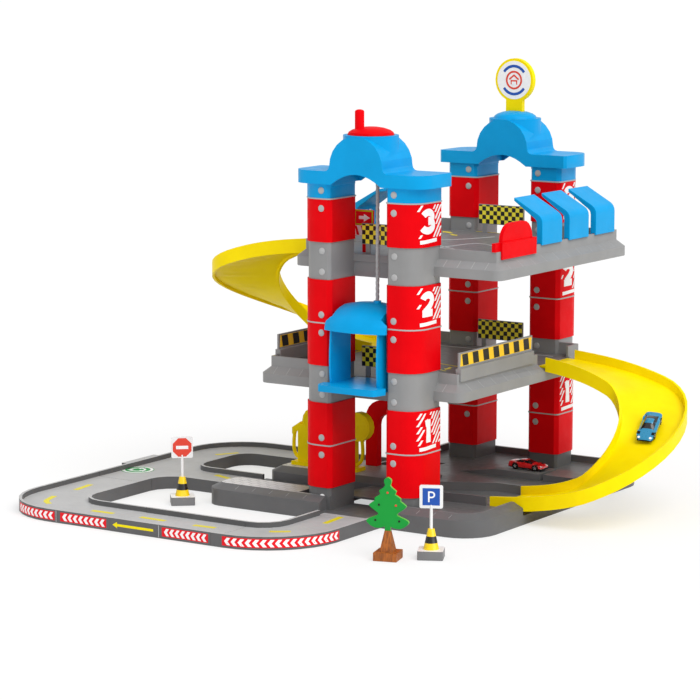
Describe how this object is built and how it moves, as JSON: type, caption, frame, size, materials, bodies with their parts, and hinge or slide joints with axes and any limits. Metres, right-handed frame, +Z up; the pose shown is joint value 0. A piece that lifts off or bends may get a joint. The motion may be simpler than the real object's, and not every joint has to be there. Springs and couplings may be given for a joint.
{
  "type": "toy parking garage with lift",
  "caption": "Toy parking garage with a crank lift: floors on stacked red columns, curved yellow ramps, a gray ring road, pumps, signs and small cars.",
  "frame": {"origin": "on the table plane, midway between the four columns", "axes": "+X runs along the front of the garage to its right, +Y from the lift front to the back, +Z up"},
  "size_m": [0.9186, 0.773, 0.68],
  "materials": {
    "dark_gray_plastic": "satin moulded",
    "gray_plastic": "satin moulded",
    "pale_gray_plastic": "satin moulded",
    "red_plastic": "glossy moulded",
    "blue_plastic": "glossy moulded",
    "yellow_plastic": "glossy moulded",
    "white_plastic": "glossy moulded",
    "green_plastic": "glossy moulded",
    "black_plastic": "satin moulded",
    "cord_fabric": "woven",
    "red_car_paint": "gloss paint",
    "blue_car_paint": "gloss paint"
  },
  "bodies": {
    "garage": {"base_tray": "dark_gray_plastic", "road_front_right": "pale_gray_plastic", "road_front_middle": "pale_gray_plastic", "road_front_left": "pale_gray_plastic", "road_back_left": "pale_gray_plastic", "column_block_front_left_1": "red_plastic", "column_block_front_left_2": "red_plastic", "column_block_front_left_3": "red_plastic", "column_block_front_left_4": "red_plastic", "column_block_front_left_5": "red_plastic", "column_block_front_right_1": "red_plastic", "column_block_front_right_2": "red_plastic", "column_block_front_right_3": "red_plastic", "column_block_front_right_4": "red_plastic", "column_block_front_right_5": "red_plastic", "column_block_back_left_1": "red_plastic", "column_block_back_left_2": "red_plastic", "column_block_back_left_3": "red_plastic", "column_block_back_left_4": "red_plastic", "column_block_back_left_5": "red_plastic", "column_block_back_right_1": "red_plastic", "column_block_back_right_2": "red_plastic", "column_block_back_right_3": "red_plastic", "column_block_back_right_4": "red_plastic", "column_block_back_right_5": "red_plastic", "deck_level_2": "gray_plastic", "deck_level_3": "gray_plastic", "ramp_right": "yellow_plastic", "ramp_left": "yellow_plastic", "arch_front": "blue_plastic", "arch_back": "blue_plastic", "round_sign": "yellow_plastic", "lift_cord": "cord_fabric", "striped_panel_right": "yellow_plastic", "striped_panel_left": "yellow_plastic", "ticket_booth": "red_plastic", "canopy_1": "blue_plastic", "canopy_2": "blue_plastic", "canopy_3": "blue_plastic", "canopy_left": "blue_plastic", "checker_board_front_2": "yellow_plastic", "checker_board_front_3": "yellow_plastic", "checker_board_back_2": "yellow_plastic", "checker_board_back_3": "yellow_plastic", "arrow_sign": "red_plastic", "fuel_pump_left": "yellow_plastic", "fuel_pump_right": "yellow_plastic", "station_gate": "red_plastic", "road_sign_left": "white_plastic", "road_sign_right": "white_plastic", "tree": "green_plastic"},
    "lift": {"lift_cabin": "blue_plastic"},
    "crank": {"crank_knob": "red_plastic", "winding_spool": "white_plastic"},
    "red_car": {"red_car_body": "red_car_paint"},
    "red_car_front_wheels": {"red_car_front_axle": "black_plastic"},
    "red_car_rear_wheels": {"red_car_rear_axle": "black_plastic"},
    "blue_car": {"blue_car_body": "blue_car_paint"},
    "blue_car_front_wheels": {"blue_car_front_axle": "black_plastic"},
    "blue_car_rear_wheels": {"blue_car_rear_axle": "black_plastic"}
  },
  "joints": [
    {"name": "lift_slide", "type": "slide", "parent": "garage", "child": "lift", "axis": [0, 0, 1], "range_m": [-0.188, 0.188], "deforming": ["lift_cord"]},
    {"name": "crank_turn", "type": "hinge", "parent": "garage", "child": "crank", "pos_m": [0, -0.2145, 0.59], "axis": [0, 0, 1], "range_deg": [-921, 921]},
    {"name": "red_car_roll", "type": "slide", "parent": "garage", "child": "red_car", "axis": [1, 0, 0], "range_m": [-0.02, 0.01]},
    {"name": "red_car_front_spin", "type": "hinge", "parent": "red_car", "child": "red_car_front_wheels", "pos_m": [0.114, 0.102, 0.0396], "axis": [0, 1, 0], "range_deg": [-221, 111]},
    {"name": "red_car_rear_spin", "type": "hinge", "parent": "red_car", "child": "red_car_rear_wheels", "pos_m": [0.078, 0.102, 0.0396], "axis": [0, 1, 0], "range_deg": [-221, 111]},
    {"name": "blue_car_roll", "type": "slide", "parent": "garage", "child": "blue_car", "axis": [0.1645, -0.865, -0.4741], "range_m": [-0.012, 0.012]},
    {"name": "blue_car_front_spin", "type": "hinge", "parent": "blue_car", "child": "blue_car_front_wheels", "pos_m": [0.34805, 0.01737, 0.12805], "axis": [0.9763, 0.2114, -0.0468], "range_deg": [-133, 133]},
    {"name": "blue_car_rear_spin", "type": "hinge", "parent": "blue_car", "child": "blue_car_rear_wheels", "pos_m": [0.34213, 0.04851, 0.14512], "axis": [0.9763, 0.2114, -0.0468], "range_deg": [-133, 133]}
  ],
  "couplings": [
    {"joint": "crank_turn", "follows": "lift_slide", "rad_per_m": 85.47},
    {"joint": "red_car_front_spin", "follows": "red_car_roll", "rad_per_m": 192.3},
    {"joint": "red_car_rear_spin", "follows": "red_car_roll", "rad_per_m": 192.3},
    {"joint": "blue_car_front_spin", "follows": "blue_car_roll", "rad_per_m": 192.3},
    {"joint": "blue_car_rear_spin", "follows": "blue_car_roll", "rad_per_m": 192.3}
  ]
}
